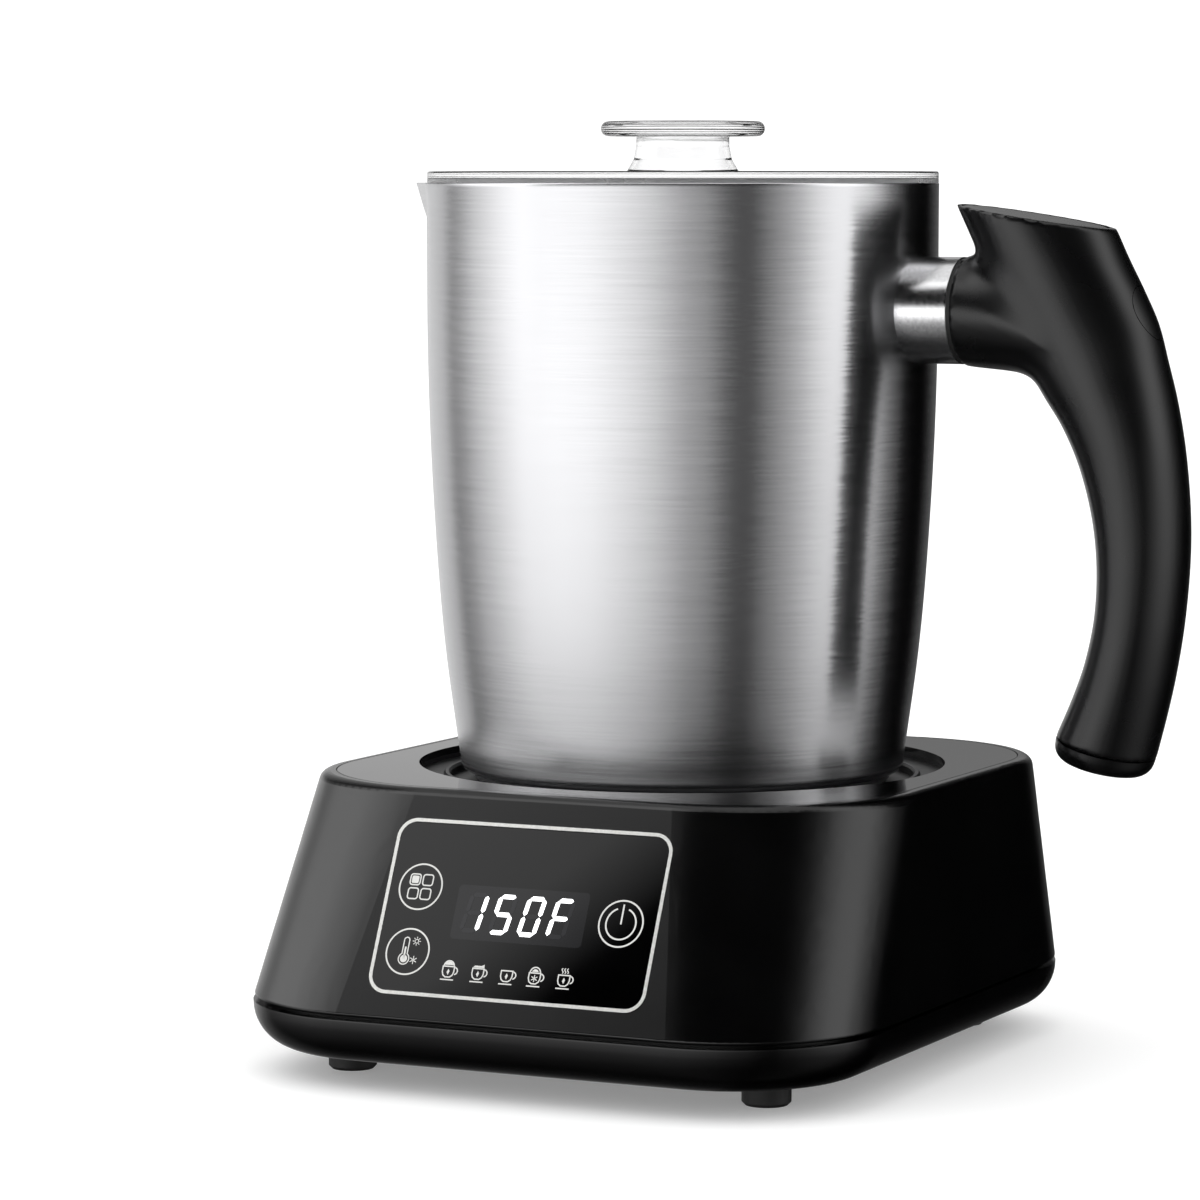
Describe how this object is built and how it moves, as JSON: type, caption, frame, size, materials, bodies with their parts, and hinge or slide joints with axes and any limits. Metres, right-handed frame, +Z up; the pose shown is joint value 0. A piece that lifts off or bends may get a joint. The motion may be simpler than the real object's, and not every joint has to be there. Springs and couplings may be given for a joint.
{
  "type": "milk frother",
  "caption": "Detachable-jug milk frother: brushed steel jug with handle, clear lid and magnetically driven whisk on a heating base with a touch display.",
  "frame": {"origin": "on the floor plane under the jug's vertical axis", "axes": "+X towards the handle, -Y towards the display, +Z up"},
  "size_m": [0.1846, 0.1599, 0.1991],
  "materials": {
    "housing_black": "satin moulded ABS",
    "plate_black": "high gloss",
    "dish_black": "fine matte",
    "seal_black": "moulded silicone",
    "foot_rubber": "matte",
    "zinc_screw": "zinc plated",
    "lens_black": "polished lens",
    "board_green": "solder mask",
    "display_grey": "moulded",
    "contact_copper": "plated",
    "motor_steel": "plated",
    "magnet_nickel": "nickel plated",
    "former_natural": "glass-filled",
    "coil_copper": "enamelled litz",
    "ferrite_grey": "sintered",
    "heatsink_alu": "extruded",
    "component_dark": "moulded epoxy",
    "component_blue": "sleeve",
    "fuse_glass": "clear",
    "jug_steel": "horizontal brushing",
    "disc_steel": "ferritic base disc",
    "ferrule_steel": "polished",
    "grip_black": "satin phenolic",
    "lid_clear": "clear moulded plastic",
    "seal_clear": "translucent silicone",
    "whisk_plastic": "moulded",
    "whisk_steel": "bright wire"
  },
  "bodies": {
    "base": {"base_housing": "housing_black", "base_pan": "housing_black", "top_plate": "plate_black", "seat_dish": "dish_black", "dish_screws": "zinc_screw", "seat_gasket": "seal_black", "rubber_feet": "foot_rubber", "pan_screws": "zinc_screw", "cord_gland": "seal_black", "display_lens": "lens_black", "display_board": "board_green", "display_module": "display_grey", "touch_springs": "contact_copper", "display_screws": "zinc_screw", "motor_can": "motor_steel", "motor_bracket": "motor_steel", "bracket_screws": "zinc_screw", "coil_former": "former_natural", "former_screws": "zinc_screw", "induction_coil": "coil_copper", "ferrite_bars": "ferrite_grey", "power_board": "board_green", "board_screws": "zinc_screw", "heatsink": "heatsink_alu", "power_transistors": "component_dark", "capacitors": "component_blue", "choke_coil": "coil_copper", "line_fuse": "fuse_glass", "terminal_block": "component_dark", "fan_frame": "component_dark", "fan_screws": "zinc_screw"},
    "motor_rotor": {"motor_shaft": "motor_steel", "magnet_rotor": "component_dark", "drive_magnets": "magnet_nickel"},
    "fan_rotor": {"fan_rotor": "component_dark"},
    "sensor": {"sensor_plunger": "ferrule_steel", "sensor_spring": "whisk_steel"},
    "jug": {"jug_body": "jug_steel", "jug_bottom_plate": "disc_steel", "whisk_post": "ferrule_steel", "handle_boss": "jug_steel", "handle_ferrule": "ferrule_steel", "ferrule_washer": "seal_black", "handle_grip": "grip_black", "thumb_pad": "grip_black", "handle_end_cap": "grip_black", "handle_screw": "zinc_screw", "handle_screw_cap": "grip_black"},
    "lid": {"lid_disc": "lid_clear", "lid_seal": "seal_clear", "lid_knob": "lid_clear"},
    "whisk_drive": {"whisk_hub": "whisk_plastic", "whisk_magnets": "magnet_nickel"},
    "whisk_head": {"whisk_frame": "whisk_steel", "whisk_coil": "whisk_steel"}
  },
  "joints": [
    {"name": "motor_spin", "type": "hinge", "parent": "base", "child": "motor_rotor", "pos_m": [0, 0, 0.045], "axis": [0, 0, 1], "continuous": true},
    {"name": "fan_spin", "type": "hinge", "parent": "base", "child": "fan_rotor", "pos_m": [-0.036, -0.044, 0.012], "axis": [0, 0, 1], "continuous": true},
    {"name": "sensor_press", "type": "slide", "parent": "base", "child": "sensor", "axis": [0, 0, 1], "range_m": [-0.0015, 0], "stiffness_N_per_m": 150, "springref_m": 0.001, "deforming": ["sensor_spring"]},
    {"name": "jug_lift", "type": "slide", "parent": "base", "child": "jug", "axis": [0, 0, 1], "range_m": [0, 0.08]},
    {"name": "lid_lift", "type": "slide", "parent": "jug", "child": "lid", "axis": [0, 0, 1], "range_m": [0, 0.06]},
    {"name": "whisk_spin", "type": "hinge", "parent": "jug", "child": "whisk_drive", "pos_m": [0, 0, 0.07], "axis": [0, 0, 1], "continuous": true},
    {"name": "whisk_lift", "type": "slide", "parent": "whisk_drive", "child": "whisk_head", "axis": [0, 0, 1], "range_m": [0, 0.03]}
  ],
  "couplings": [
    {"joint": "motor_spin", "follows": "whisk_spin", "ratio": 1}
  ]
}
